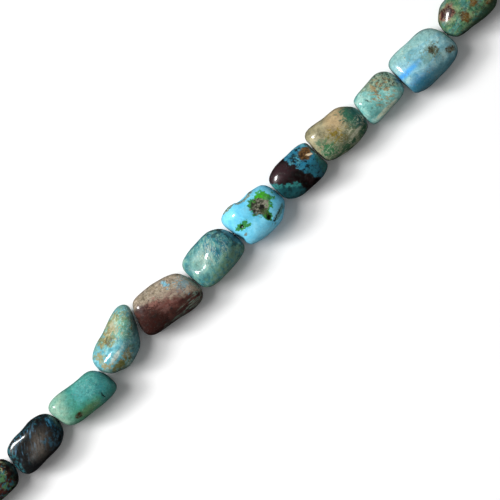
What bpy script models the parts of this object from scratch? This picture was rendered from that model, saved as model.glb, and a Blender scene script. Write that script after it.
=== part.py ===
"""A strand of tumbled chrysocolla nuggets on one knotted thread, laid straight along X.

The nuggets are drilled from end to end. Each rests on a flat of its underside, at z = 0.
All driving dimensions are in millimetres and degrees. The model itself is in metres.
"""
import math
import random
from collections import namedtuple

import bmesh
import bpy
from mathutils import Vector, noise

MM = 0.001

HOLE_DIAMETER = 1.0
THREAD_DIAMETER = 0.4
KNOT_DIAMETER = 1.5
KNOT_SHOULDER = (0.6, 0.82)
KNOT_NECK = 0.95
TAIL_LENGTH = 7.0
TAIL_POINTS = 8
TAIL_CLEARANCE = 0.05
CONTACT_GAP = 0.3
SEAT_DEPTH = 0.45

SEGMENTS = 16
RING_ANGLES = (22, 38, 60, 90, 120, 142, 158)
WALL_TURN = 45
CORNER_SHARPNESS = 9
FLAT_SHARPNESS = 14
LUMP_SIZE = 4.5
LUMP_HEIGHT = 0.22
LUMP_LEVEL = 0.3
LUMP_STEP = 7.3
MOUTH_ROUNDS = 4

STONE_ROUGHNESS = 0.22
NYLON_ROUGHNESS = 0.5

# The nuggets beyond the middle of the strand are drawn between these smallest and largest values.
# A corner is a share of a square corner's distance, and a flat's distance is a share of the height.
SEED = 29
DRAWN_LENGTH = (11.8, 15.0)
DRAWN_HALF_WIDTH = (4.0, 5.2)
DRAWN_CORNER = (0.72, 0.94)
DRAWN_HEIGHT = (7.4, 8.8)
DRAWN_FULLNESS = (2.3, 3.0)
DRAWN_ACROSS = (-1.2, 1.2)
DRAWN_SLANT = (-14, 14)
DRAWN_LEFT_FLAT = ((60, 120), (45, 65), (0.46, 0.52))
DRAWN_RIGHT_FLAT = ((240, 300), (40, 60), (0.50, 0.56))
DRAWN_DENT = ((0, 360), (10, 60), (16, 26))
DRAWN_DENT_DEPTH = 0.4
END_ROOM = 0.2

# A nugget's length runs between its two contacts. Across and slant are those of its front contact:
# how far the hole lies off the strand's middle line, and how the contact is turned in plan.
# Its eight walls stand at these distances from its middle, from the front one round to the left,
# and the turn is how far they are all turned to the left, in degrees.
# A flat is (bearing, elevation, distance) and a dent is (bearing, elevation, spread, depth).
Nugget = namedtuple("Nugget", "length across slant height fullness walls turn flats dents tint")

# Linear colours of the stone
INK = (0.02, 0.03, 0.04)
MAROON = (0.07, 0.025, 0.025)
UMBER = (0.12, 0.06, 0.03)
CREAM = (0.52, 0.42, 0.25)
SKY = (0.15, 0.58, 0.75)
TURQUOISE = (0.16, 0.48, 0.48)
TEAL = (0.06, 0.30, 0.32)
MOSS = (0.10, 0.22, 0.12)
THREAD_WHITE = (0.85, 0.85, 0.82)

# The stones behind and ahead of the middle of the strand
BACK_TINTS = (TURQUOISE, MOSS, INK, TEAL, SKY, MAROON, MOSS, TEAL)
FRONT_TINTS = (INK, TEAL, TURQUOISE, MOSS, MAROON, SKY, TURQUOISE, CREAM, TEAL)

# The twelve nuggets in the middle of the strand, one by one
MIDDLE = (
    Nugget(13.3, -1.6, -5, 7.8, 2.6, (6.9, 6.0, 3.9, 5.9, 6.8, 6.5, 4.0, 5.9), 0,
           [(100, 55, 3.6)], [], UMBER),
    Nugget(14.0, -1.2, 5, 8.2, 2.8, (7.8, 6.4, 4.5, 6.6, 7.4, 7.0, 4.4, 6.2), 0,
           [(170, 74, 3.5), (300, 42, 4.3)], [], INK),
    Nugget(14.3, -0.5, 25, 8.2, 3.0, (7.9, 6.0, 3.3, 7.2, 7.8, 7.0, 4.8, 8.8), -9,
           [(270, 48, 5.0), (85, 66, 3.9)], [], TURQUOISE),
    Nugget(13.7, 2.0, -25, 8.8, 2.3, (9.8, 9.0, 4.8, 6.8, 8.0, 5.5, 4.4, 5.0), 8,
           [(100, 50, 4.0), (285, 46, 4.0)], [(320, 35, 24, 0.4)], SKY),
    Nugget(15.0, -0.3, 5, 8.2, 2.8, (8.4, 6.2, 4.4, 7.2, 8.0, 9.5, 5.6, 8.8), -2,
           [(275, 50, 4.9), (80, 60, 3.9)], [], MAROON),
    Nugget(13.6, 0.2, 10, 8.6, 2.5, (7.1, 6.2, 5.0, 7.2, 7.2, 6.8, 4.8, 7.2), 0,
           [(120, 58, 4.1), (300, 40, 5.0)], [], TEAL),
    Nugget(13.3, 0.2, 0, 8.8, 2.3, (7.3, 6.5, 4.9, 8.2, 7.3, 7.3, 5.6, 6.2), -7,
           [], [(88, 5, 15, 0.5), (192, 0, 14, 0.4), (40, 66, 24, 0.5)], SKY),
    Nugget(12.4, 0.9, 0, 8.0, 2.6, (6.8, 6.4, 3.9, 6.0, 6.8, 6.3, 5.2, 7.7), -4,
           [(240, 52, 4.3), (60, 60, 3.6)], [], MAROON),
    Nugget(13.0, -1.1, -5, 8.0, 2.6, (7.4, 6.2, 4.8, 7.8, 7.3, 7.0, 4.6, 6.3), 0,
           [(285, 45, 4.4)], [], CREAM),
    Nugget(11.3, -1.3, 0, 7.8, 2.7, (5.8, 5.9, 4.5, 6.5, 6.4, 7.2, 3.6, 5.5), 4,
           [(75, 60, 3.7), (250, 55, 3.9)], [], TURQUOISE),
    Nugget(14.4, -1.6, 5, 9.0, 2.9, (7.5, 6.4, 4.8, 8.1, 7.5, 8.8, 6.0, 8.2), 0,
           [(278, 47, 5.3), (100, 66, 4.3)], [], SKY),
    Nugget(14.4, -1.4, -5, 8.2, 2.5, (7.5, 6.6, 5.4, 6.8, 7.6, 6.3, 3.5, 6.0), -8,
           [(270, 50, 4.0)], [], MOSS),
)


def draw_nugget(draws, tint):
    """One nugget beyond the middle of the strand, of sizes like those of its neighbours."""
    length = draws.uniform(*DRAWN_LENGTH)
    left = draws.uniform(*DRAWN_HALF_WIDTH)
    right = draws.uniform(*DRAWN_HALF_WIDTH)
    end = length / 2 + END_ROOM
    square_corner = (end + (left + right) / 2) / math.sqrt(2)
    corners = [square_corner * draws.uniform(*DRAWN_CORNER) for _ in range(4)]
    height = draws.uniform(*DRAWN_HEIGHT)
    flats = []
    for spans in (DRAWN_LEFT_FLAT, DRAWN_RIGHT_FLAT):
        bearing, elevation, share = (draws.uniform(*span) for span in spans)
        flats.append((bearing, elevation, height * share))
    across = draws.uniform(*DRAWN_ACROSS)
    slant = draws.uniform(*DRAWN_SLANT)
    fullness = draws.uniform(*DRAWN_FULLNESS)
    dent = [draws.uniform(*span) for span in DRAWN_DENT]
    return Nugget(
        length=length,
        across=across,
        slant=slant,
        height=height,
        fullness=fullness,
        walls=(end, corners[0], left, corners[1], end, corners[2], right, corners[3]),
        turn=0,
        flats=flats,
        dents=[(*dent, DRAWN_DENT_DEPTH)],
        tint=tint,
    )


def remove_scene_objects():
    for thing in list(bpy.data.objects):
        bpy.data.objects.remove(thing, do_unlink=True)


def plain_material(name, tint, roughness):
    material = bpy.data.materials.new(name)
    material.use_nodes = True
    shader = material.node_tree.nodes["Principled BSDF"]
    shader.inputs["Base Color"].default_value = (*tint, 1.0)
    shader.inputs["Roughness"].default_value = roughness
    shader.inputs["Metallic"].default_value = 0.0
    return material


def towards(bearing, elevation=0.0):
    """The unit vector at a bearing from +X, turned to the left, and an elevation above the plan."""
    across = math.cos(math.radians(elevation))
    return Vector((
        across * math.cos(math.radians(bearing)),
        across * math.sin(math.radians(bearing)),
        math.sin(math.radians(elevation)),
    ))


def plan_reach(nugget, bearing):
    """Distance from the middle to the outline in plan: eight walls, with their corners worn round."""
    total = 0.0
    for number, distance in enumerate(nugget.walls):
        slope = math.cos(math.radians(bearing - nugget.turn - WALL_TURN * number))
        if slope > 0:
            total += (slope / distance) ** CORNER_SHARPNESS
    return total ** (-1 / CORNER_SHARPNESS)


def reach(nugget, hole_height, direction, lump_seed):
    """Distance from the middle of a nugget to its surface, along a unit vector."""
    bearing = math.degrees(math.atan2(direction.y, direction.x))
    in_plan = math.hypot(direction.x, direction.y) / plan_reach(nugget, bearing)
    upright = nugget.height - hole_height if direction.z > 0 else hole_height + SEAT_DEPTH
    power = nugget.fullness
    distance = (in_plan ** power + (abs(direction.z) / upright) ** power) ** (-1 / power)
    for facing, elevation, depth in nugget.flats:
        slope = direction.dot(towards(facing, elevation))
        if slope > 0:
            sharp = FLAT_SHARPNESS
            distance = (distance ** -sharp + (slope / depth) ** sharp) ** (-1 / sharp)
    for facing, elevation, spread, depth in nugget.dents:
        turn = math.degrees(direction.angle(towards(facing, elevation)))
        distance -= depth * math.exp(-(turn / spread) ** 2)
    lumps = noise.noise(direction * (distance / LUMP_SIZE) + Vector((lump_seed, 0, 0)))
    return distance + LUMP_HEIGHT * (lumps - LUMP_LEVEL)


def mouth_point(nugget, hole_height, lump_seed, around, end):
    """The point of the hole's rim at an angle around the hole: it lies on the nugget's end."""
    rim = HOLE_DIAMETER / 2
    polar = rim / (nugget.length / 2)
    for _ in range(MOUTH_ROUNDS):
        side = Vector((0, math.cos(around), math.sin(around))) * math.sin(polar)
        direction = Vector((end * math.cos(polar), 0, 0)) + side
        polar = math.asin(rim / reach(nugget, hole_height, direction, lump_seed))
    x = end * rim / math.tan(polar)
    return Vector((x, rim * math.cos(around), rim * math.sin(around)))


def ring_number(polar):
    """Which ring of the even sphere a polar angle belongs to, from 0 at the front hole rim."""
    return round(math.degrees(polar) / (180 / (len(RING_ANGLES) + 3))) - 1


def nugget_mesh(name, nugget, hole_height, lump_seed):
    """A drilled nugget about its own middle, with the hole along X."""
    shape = bmesh.new()
    bmesh.ops.create_uvsphere(shape, u_segments=SEGMENTS, v_segments=len(RING_ANGLES) + 3, radius=1)
    poles = [corner for corner in shape.verts if math.hypot(corner.co.x, corner.co.y) < 1e-4]
    bmesh.ops.delete(shape, geom=poles, context="VERTS")
    last = len(RING_ANGLES) + 1
    for corner in shape.verts:
        even = corner.co.copy()
        ring = ring_number(math.acos(max(-1, min(1, even.z))))
        around = math.atan2(even.x, -even.y)
        if ring in (0, last):
            end = 1 if ring == 0 else -1
            corner.co = mouth_point(nugget, hole_height, lump_seed, around, end)
        else:
            polar = math.radians(RING_ANGLES[ring - 1])
            direction = Vector((
                math.cos(polar),
                math.sin(polar) * math.cos(around),
                math.sin(polar) * math.sin(around),
            ))
            corner.co = direction * reach(nugget, hole_height, direction, lump_seed)
    rims = [edge for edge in shape.edges if edge.is_boundary]
    bmesh.ops.bridge_loops(shape, edges=rims)
    bmesh.ops.recalc_face_normals(shape, faces=shape.faces)
    mesh = bpy.data.meshes.new(name)
    shape.to_mesh(mesh)
    shape.free()
    return mesh


def keep_behind(mesh, place, contact, facing):
    """Slides what lies past a contact back to it, along the hole."""
    along = place.to_3x3() @ Vector((1, 0, 0))
    back = place.inverted()
    for corner in mesh.vertices:
        spot = place @ corner.co
        past = (spot - contact).dot(facing) + CONTACT_GAP / 2 * MM
        if past > 0:
            corner.co = back @ (spot - along * (past / along.dot(facing)))


def keep_above_ground(mesh, place):
    """Grinds the underside to a flat at z = 0."""
    back = place.inverted()
    for corner in mesh.vertices:
        spot = place @ corner.co
        if spot.z < 0:
            spot.z = 0
            corner.co = back @ spot


def contact_points(nuggets):
    """Where the thread passes each contact, from the strand's back end to its front end."""
    heights = [nugget.height / 2 for nugget in nuggets]
    middles = [heights[0]] + [(a + b) / 2 for a, b in zip(heights, heights[1:])] + [heights[-1]]
    x = 0.0
    points = [Vector((x, nuggets[0].across, middles[0])) * MM]
    for nugget, z in zip(nuggets, middles[1:]):
        x += nugget.length
        points.append(Vector((x, nugget.across, z)) * MM)
    return points


def add_nugget(name, nugget, back, front, back_slant, lump_seed, strand, collection):
    """One drilled nugget between its two contact points."""
    middle = (back + front) / 2
    turn = Vector((1, 0, 0)).rotation_difference(front - back)
    mesh = nugget_mesh(name, nugget, middle.z / MM, lump_seed)
    mesh.materials.append(plain_material(name + "_stone", nugget.tint, STONE_ROUGHNESS))
    bead = bpy.data.objects.new(name, mesh)
    bead.location = middle
    bead.rotation_mode = "QUATERNION"
    bead.rotation_quaternion = turn
    bead.parent = strand
    collection.objects.link(bead)
    for corner in mesh.vertices:
        corner.co *= MM
    place = turn.to_matrix().to_4x4()
    place.translation = middle
    keep_behind(mesh, place, front, towards(nugget.slant))
    keep_behind(mesh, place, back, -towards(back_slant))
    keep_above_ground(mesh, place)
    mesh.update()
    mesh.shade_smooth()
    return bead


def knot_and_tail(end, outward):
    """Points and radii of the thread outside an end nugget: a round knot, then a tail that falls."""
    half_thread = THREAD_DIAMETER / 2
    half_knot = KNOT_DIAMETER / 2
    knot_x = CONTACT_GAP + half_knot
    shoulder, swelling = KNOT_SHOULDER
    steps = [
        (-KNOT_NECK, half_thread),
        (-shoulder, half_knot * swelling),
        (0, half_knot),
        (shoulder, half_knot * swelling),
        (KNOT_NECK, half_thread),
    ]
    points = []
    for step, radius in steps:
        points.append((end + Vector((outward * (knot_x + step * half_knot) * MM, 0, 0)), radius))
    start = points[-1][0]
    ground = (half_thread + TAIL_CLEARANCE) * MM
    for number in range(1, TAIL_POINTS + 1):
        part = number / TAIL_POINTS
        fall = part * part * (3 - 2 * part)
        x = start.x + outward * part * TAIL_LENGTH * MM
        points.append((Vector((x, start.y, start.z + (ground - start.z) * fall)), half_thread))
    return points


def add_thread(contacts, strand, collection):
    """The thread: one tube through every hole, with a knot and a tail at either end."""
    back = knot_and_tail(contacts[0], -1)
    front = knot_and_tail(contacts[-1], 1)
    inside = [(point, THREAD_DIAMETER / 2) for point in contacts]
    route = list(reversed(back)) + inside + front
    curve = bpy.data.curves.new("thread", "CURVE")
    curve.dimensions = "3D"
    curve.bevel_depth = THREAD_DIAMETER / 2 * MM
    curve.bevel_resolution = 2
    curve.use_fill_caps = True
    spline = curve.splines.new("POLY")
    spline.points.add(len(route) - 1)
    for knot, (point, radius) in zip(spline.points, route):
        knot.co = (*point, 1)
        knot.radius = radius / (THREAD_DIAMETER / 2)
    curve.materials.append(plain_material("thread_nylon", THREAD_WHITE, NYLON_ROUGHNESS))
    thread = bpy.data.objects.new("thread", curve)
    thread.parent = strand
    collection.objects.link(thread)
    return thread


def centre_over_origin(strand, pieces):
    """Moves the strand so that its box is centred over the origin in plan."""
    bpy.context.view_layer.update()
    graph = bpy.context.evaluated_depsgraph_get()
    spots = []
    for piece in pieces:
        shown = piece.evaluated_get(graph)
        mesh = shown.to_mesh()
        spots += [piece.matrix_world @ corner.co for corner in mesh.vertices]
        shown.to_mesh_clear()
    for axis in (0, 1):
        low = min(spot[axis] for spot in spots)
        high = max(spot[axis] for spot in spots)
        strand.location[axis] = -(low + high) / 2


def main():
    remove_scene_objects()
    collection = bpy.data.collections.new("chrysocolla_bead_strand")
    bpy.context.scene.collection.children.link(collection)
    strand = bpy.data.objects.new("strand", None)
    collection.objects.link(strand)

    draws = random.Random(SEED)
    behind = [draw_nugget(draws, tint) for tint in BACK_TINTS]
    ahead = [draw_nugget(draws, tint) for tint in FRONT_TINTS]
    nuggets = behind + list(MIDDLE) + ahead
    contacts = contact_points(nuggets)

    pieces = []
    back_slant = 0
    for number, nugget in enumerate(nuggets):
        back, front = contacts[number], contacts[number + 1]
        name = f"bead_{number + 1:02d}"
        lump_seed = number * LUMP_STEP
        pieces.append(add_nugget(name, nugget, back, front, back_slant, lump_seed, strand, collection))
        back_slant = nugget.slant
    pieces.append(add_thread(contacts, strand, collection))
    centre_over_origin(strand, pieces)


main()
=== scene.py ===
"""The look of a chrysocolla bead strand, seen from straight above on a pale table.

Every nugget is a smooth, worn stone grown from its solid, with its own colours, veins and pits.
The nuggets hang on a thread of three twisted plies, which ends in a wrapped knot at either end.
"""

import math
import random

import bmesh
import bpy
import numpy as np
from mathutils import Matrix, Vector, noise


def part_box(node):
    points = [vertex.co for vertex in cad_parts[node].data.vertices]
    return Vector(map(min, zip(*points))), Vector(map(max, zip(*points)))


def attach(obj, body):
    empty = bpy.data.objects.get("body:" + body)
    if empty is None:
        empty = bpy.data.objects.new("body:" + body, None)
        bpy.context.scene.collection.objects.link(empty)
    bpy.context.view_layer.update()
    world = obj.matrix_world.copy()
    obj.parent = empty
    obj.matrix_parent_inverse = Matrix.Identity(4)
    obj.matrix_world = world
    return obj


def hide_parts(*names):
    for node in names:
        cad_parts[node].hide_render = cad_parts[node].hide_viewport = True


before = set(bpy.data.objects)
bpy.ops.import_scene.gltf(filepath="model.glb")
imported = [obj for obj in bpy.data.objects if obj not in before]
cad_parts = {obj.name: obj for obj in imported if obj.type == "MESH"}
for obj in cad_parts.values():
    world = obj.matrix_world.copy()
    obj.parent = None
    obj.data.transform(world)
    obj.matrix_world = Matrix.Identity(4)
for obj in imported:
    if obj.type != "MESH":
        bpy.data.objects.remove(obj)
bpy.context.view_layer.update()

MM = 0.001
BEAD_COUNT = 29

# The photograph's frame: its width on the table, and where its middle lies from the contact of
# the two nuggets nearest to it. The strand climbs from lower left to upper right, at 45 degrees.
FRAME_WIDTH = 111.0 * MM
FRAME_SHIFT = Vector((0.1, -4.6, 0)) * MM
STRAND_TURN = math.radians(45)
CAMERA_HEIGHT = 1.1
NEAREST_SEEN = 0.01
SENSOR_WIDTH = 36.0

TABLE_SIZE = 6
HORIZON_FILL = 0.07
ZENITH_FILL = 0.30
LIGHT_DISTANCE = 1.6
# Each light's elevation in degrees, size in m and power in W
CRISP_LIGHT = (36, 0.34, 12.5)
BROAD_LIGHT = (48, 0.9, 22.5)

STONE_IOR = 1.48
POLISH_ROUGHNESS = 0.06
# How far red, green and blue light travels inside a translucent stone, in mm
LIGHT_REACH = (1.6, 1.2, 0.7)
# The heights in mm, from a nugget's middle, between which the patches of its upper side fade in
UPPER_SIDE = (-1.6, 0.4)
# How far apart two nuggets draw their noise: for the colours, and for the lumps
GRAIN_STEP = (13.7, 7.1, 3.3)
LUMP_STEP = 5.1

FINE_LEVEL = 3
PITTED_LEVEL = 4
FEW_HOLLOWS = 2
GROWTH_ROUNDS = 8
GROWTH_SHARE = 0.9
# Worn lumps of the surface: size and depth in mm
LUMPS = ((4.2, 0.26), (1.7, 0.07))
# The nuggets are pulled up tight: each end reaches this much farther than its solid
END_REACH = 0.09 * MM
# A hollow fades out over this share of its radius, up to its edge, and between these heights in mm
HOLLOW_FADE = 0.7
HOLLOW_EDGE = 1.25
HOLLOW_HEIGHTS = (-2.4, -0.9)
RUBBLE_SIZE = 0.9
RUBBLE_SHAPE = (0.8, 2.1, 4)

# The thread, in mm
RING_GAP = 0.12
PLY_COUNT = 3
PLY_RADIUS = 0.1
PLY_OFFSET = 0.1
TWIST_PITCH = 1.5
PLY_STEP = 0.16
PLY_SIDES = 6
PLY_FLOOR = 0.01
FRAY_LENGTH = 1.4
FRAY_SPREAD = 0.22
KNOT_DISTANCE = 1.0
WRAP_TURNS = 2
WRAP_PITCH = 0.42
WRAP_RADIUS = 0.42
WRAP_POINTS = 26
WRAP_EASE = 6
NEVER_ALONG_THREAD = (0, 0.3, 1.0)


def linear(hex_colour):
    """Linear RGBA of a colour written as six hex digits."""
    shares = [int(hex_colour[i:i + 2], 16) / 255 for i in (0, 2, 4)]
    lit = [s / 12.92 if s <= 0.04045 else ((s + 0.055) / 1.055) ** 2.4 for s in shares]
    return (*lit, 1.0)


class Stone:
    """A polished stone. Colours are laid one over another by masks, in mm from the nugget's middle."""

    def __init__(self, name, middle, seed, roughness=0.34, gloss=0.75):
        self.material = bpy.data.materials.new(name)
        self.material.use_nodes = True
        self.tree = self.material.node_tree
        self.shader = self.tree.nodes["Principled BSDF"]
        self.shader.inputs["IOR"].default_value = STONE_IOR
        self.shader.inputs["Coat Weight"].default_value = gloss
        self.shader.inputs["Coat Roughness"].default_value = POLISH_ROUGHNESS
        here = self.node("ShaderNodeTexCoord").outputs["Object"]
        self.point = self.vector("SCALE", self.vector("SUBTRACT", here, middle), scale=1 / MM)
        self.grain = self.vector("ADD", self.point, [seed * step for step in GRAIN_STEP])
        parts = self.node("ShaderNodeSeparateXYZ")
        self.put(parts.inputs[0], self.point)
        self.upper = self.smooth(parts.outputs["Z"], *UPPER_SIDE)
        self.colour = linear("808080")
        self.height = 0.0
        self.roughness = roughness

    def node(self, kind, **settings):
        made = self.tree.nodes.new(kind)
        for name, value in settings.items():
            setattr(made, name, value)
        return made

    def put(self, socket, value):
        if isinstance(value, bpy.types.NodeSocket):
            self.tree.links.new(value, socket)
        else:
            socket.default_value = value

    def math(self, operation, a, b=0.0):
        made = self.node("ShaderNodeMath", operation=operation)
        self.put(made.inputs[0], a)
        self.put(made.inputs[1], b)
        return made.outputs[0]

    def vector(self, operation, a, b=(0, 0, 0), scale=1.0):
        made = self.node("ShaderNodeVectorMath", operation=operation)
        self.put(made.inputs[0], a)
        self.put(made.inputs[1], b)
        self.put(made.inputs[3], scale)
        return made.outputs["Value" if operation == "LENGTH" else "Vector"]

    def mapped(self, vector, turn=0.0, stretch=(1, 1, 1)):
        """A vector turned back by an angle in plan, then divided by a stretch along each axis."""
        made = self.node("ShaderNodeMapping", vector_type="TEXTURE")
        self.put(made.inputs["Vector"], vector)
        made.inputs["Rotation"].default_value = (0, 0, math.radians(turn))
        made.inputs["Scale"].default_value = stretch
        return made.outputs["Vector"]

    def smooth(self, value, start, end):
        """0 at the start, 1 at the end, eased between."""
        made = self.node("ShaderNodeMapRange", interpolation_type="SMOOTHSTEP")
        self.put(made.inputs["Value"], value)
        made.inputs["From Min"].default_value = start
        made.inputs["From Max"].default_value = end
        return made.outputs["Result"]

    def both(self, a, b):
        return self.math("MULTIPLY", a, b)

    def noise(self, size, detail=3.0, bend=0.0, turn=0.0, stretch=(1, 1, 1), rough=0.55):
        made = self.node("ShaderNodeTexNoise")
        self.put(made.inputs["Vector"], self.mapped(self.grain, turn, stretch))
        made.inputs["Scale"].default_value = 1 / size
        made.inputs["Detail"].default_value = detail
        made.inputs["Roughness"].default_value = rough
        made.inputs["Distortion"].default_value = bend
        return made.outputs["Fac"]

    def ragged(self, value, amount, size):
        """A value moved up and down by noise, so that its edges come out ragged."""
        if not amount:
            return value
        sway = self.math("SUBTRACT", self.noise(size, detail=4, rough=0.6), 0.5)
        return self.math("ADD", value, self.math("MULTIPLY", sway, 4 * amount))

    def blot(self, size, low=0.5, high=0.56, **shape):
        """Patches where noise is high."""
        return self.smooth(self.noise(size, **shape), low, high)

    def vein(self, size, width=0.02, **shape):
        """Thin lines where noise crosses its middle value."""
        off = self.math("ABSOLUTE", self.math("SUBTRACT", self.noise(size, **shape), 0.5))
        return self.smooth(off, width, 0.0)

    def specks(self, size, reach=0.25):
        """Small round grains, some large and some small."""
        made = self.node("ShaderNodeTexVoronoi")
        self.put(made.inputs["Vector"], self.grain)
        made.inputs["Scale"].default_value = 1 / size
        off = self.ragged(made.outputs["Distance"], 0.12, size * 0.6)
        return self.smooth(off, reach, reach * 0.5)

    def near(self, x, y, across, up=None, turn=0.0, ragged=0.25, size=1.0, soft=0.15):
        """A patch on the upper side about a point, with its half sizes along and across the strand."""
        off = self.vector("SUBTRACT", self.point, (x, y, 0))
        off = self.mapped(off, turn, (across, up or across, 100))
        distance = self.ragged(self.vector("LENGTH", off), ragged, size)
        return self.both(self.smooth(distance, 1 + soft, 1 - soft), self.upper)

    def beyond(self, x, y, start, z=0.0, ragged=0.5, size=1.2, soft=0.3):
        """Everything past a plane, whose normal is (x, y, z)."""
        made = self.node("ShaderNodeVectorMath", operation="DOT_PRODUCT")
        self.put(made.inputs[0], self.point)
        made.inputs[1].default_value = (x, y, z)
        past = self.ragged(made.outputs["Value"], ragged, size)
        return self.smooth(past, start - soft, start + soft)

    def line(self, start, end, width=0.1, sway=0.12, size=0.8):
        """A thin line on the upper side from one point to another."""
        (x0, y0), (x1, y1) = start, end
        half = math.hypot(x1 - x0, y1 - y0) / 2
        off = self.vector("SUBTRACT", self.point, ((x0 + x1) / 2, (y0 + y1) / 2, 0))
        off = self.mapped(off, math.degrees(math.atan2(y1 - y0, x1 - x0)))
        parts = self.node("ShaderNodeSeparateXYZ")
        self.put(parts.inputs[0], off)
        beside = self.math("ABSOLUTE", self.ragged(parts.outputs[1], sway, size))
        along = self.math("ABSOLUTE", parts.outputs[0])
        inside = self.both(self.smooth(beside, width, width * 0.3), self.smooth(along, half, half * 0.8))
        return self.both(inside, self.upper)

    def stain_and_sheen(self, colour, x, y, across, up=None, turn=0.0, strength=0.9, ragged=0.4):
        """A patch with a faint halo and a mottled middle, on the upper side: a stain, or a painted sheen.
        """
        halo = self.near(x, y, across * 1.3, (up or across) * 1.3, turn, ragged, across * 1.2, soft=0.5)
        core = self.near(x, y, across, up, turn, ragged, across * 0.8, soft=0.25)
        clouds = self.blot(0.5, 0.36, 0.58, detail=5)
        self.lay(colour, halo, 0.35 * strength)
        self.lay(colour, self.both(core, self.math("ADD", self.both(clouds, 0.5), 0.5)), strength)
        return core

    def broken(self, colour, x, y, across, up=None, turn=0.0, size=0.9, strength=0.9):
        """A cluster of small blots that thins out from a point, on the upper side."""
        off = self.vector("SUBTRACT", self.point, (x, y, 0))
        off = self.mapped(off, turn, (across, up or across, 100))
        thin = self.math("MULTIPLY", self.vector("LENGTH", off), -0.16)
        share = self.math("ADD", self.noise(size, detail=5, bend=0.8), thin)
        mask = self.both(self.smooth(share, 0.36, 0.44), self.upper)
        self.lay(colour, mask, strength)
        return mask

    def ramp(self, value, stops):
        made = self.node("ShaderNodeValToRGB")
        self.put(made.inputs["Fac"], value)
        elements = made.color_ramp.elements
        while len(elements) < len(stops):
            elements.new(0.5)
        for element, (position, colour) in zip(elements, stops):
            element.position = position
            element.color = linear(colour)
        return made.outputs["Color"]

    def ground(self, *colours, size=2.4, detail=5.0, bend=0.8, low=0.34, high=0.66, **shape):
        """The stone's own colours, dark to light, in clouds."""
        share = (high - low) / (len(colours) - 1)
        stops = [(low + share * i, colour) for i, colour in enumerate(colours)]
        self.colour = self.ramp(self.noise(size, detail=detail, bend=bend, **shape), stops)

    def lay(self, colour, mask, strength=1.0):
        """Lays a colour over what is there, where the mask is."""
        made = self.node("ShaderNodeMix", data_type="RGBA")
        self.put(made.inputs[0], self.both(mask, strength))
        self.put(made.inputs[6], self.colour)
        self.put(made.inputs[7], linear(colour) if isinstance(colour, str) else colour)
        self.colour = made.outputs[2]

    def shade(self, size=0.5, amount=0.35, detail=4.0):
        """Fine lighter and darker grain."""
        made = self.node("ShaderNodeHueSaturation")
        self.put(made.inputs["Color"], self.colour)
        sway = self.math("SUBTRACT", self.noise(size, detail=detail, rough=0.65), 0.5)
        self.put(made.inputs["Value"], self.math("ADD", self.both(sway, 2 * amount), 1.0))
        self.colour = made.outputs["Color"]

    def carve(self, mask, depth):
        """Sinks the surface by a depth in mm where the mask is."""
        self.height = self.math("SUBTRACT", self.height, self.both(mask, depth))

    def dull(self, mask, amount=0.5):
        """Takes the polish off where the mask is."""
        self.roughness = self.math("ADD", self.roughness, self.both(mask, amount))

    def rock(self, mask, size=0.5, depth=0.12):
        """Broken, unpolished stone where the mask is."""
        rubble = self.noise(size, detail=5, rough=0.7)
        self.carve(self.both(mask, rubble), depth)
        self.dull(mask, 0.45)

    def flaws(self):
        """Hairline cracks and pinholes, in some places only."""
        cracks = self.both(self.vein(3.2, 0.006, bend=1.2, detail=5), self.blot(2.6, 0.5, 0.58))
        pinholes = self.specks(1.3, 0.08)
        for mask, depth in ((cracks, 0.04), (pinholes, 0.06)):
            self.lay("1d1a14", mask, 0.55)
            self.carve(mask, depth)

    def done(self, grain=0.01, see_into=0.0, clouds=0.28, dots=0.1):
        """Joins the colours, the roughness and the relief to the shader."""
        self.lay("16302e", self.blot(0.75, 0.53, 0.62, detail=6, rough=0.65), clouds)
        self.lay("dfe6d6", self.blot(0.55, 0.56, 0.66, detail=6, rough=0.65), dots)
        self.shade(1.7, clouds)
        self.shade(0.45, 0.2 + clouds)
        ripple = self.both(self.noise(1.4, detail=2), grain * 3)
        scratches = self.both(self.noise(0.25, detail=3), grain)
        self.height = self.math("ADD", self.height, self.math("ADD", ripple, scratches))
        bump = self.node("ShaderNodeBump")
        bump.inputs["Strength"].default_value = 1.0
        bump.inputs["Distance"].default_value = MM
        self.put(bump.inputs["Height"], self.height)
        self.put(self.shader.inputs["Normal"], bump.outputs["Normal"])
        self.put(self.shader.inputs["Base Color"], self.colour)
        self.put(self.shader.inputs["Roughness"], self.roughness)
        if see_into:
            self.shader.inputs["Subsurface Weight"].default_value = see_into
            self.shader.inputs["Subsurface Radius"].default_value = LIGHT_REACH
            self.shader.inputs["Subsurface Scale"].default_value = MM
        return self.material


def red_brown_mottled(s):
    s.ground("150f0d", "311813", "54281f", "261714", size=1.8)
    s.lay("4c7c52", s.blot(1.3, 0.53, 0.60), 0.85)
    s.lay("2e6b74", s.blot(1.0, 0.55, 0.61, bend=1.0), 0.9)
    s.lay("aeb48d", s.both(s.blot(0.7, 0.52, 0.58), s.beyond(0.6, 1, 2.0)), 0.7)
    s.lay("110c0b", s.beyond(1, -0.2, 4.6, ragged=0.8, soft=0.8), 0.85)
    s.flaws()
    return s.done(dots=0.03)


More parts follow.
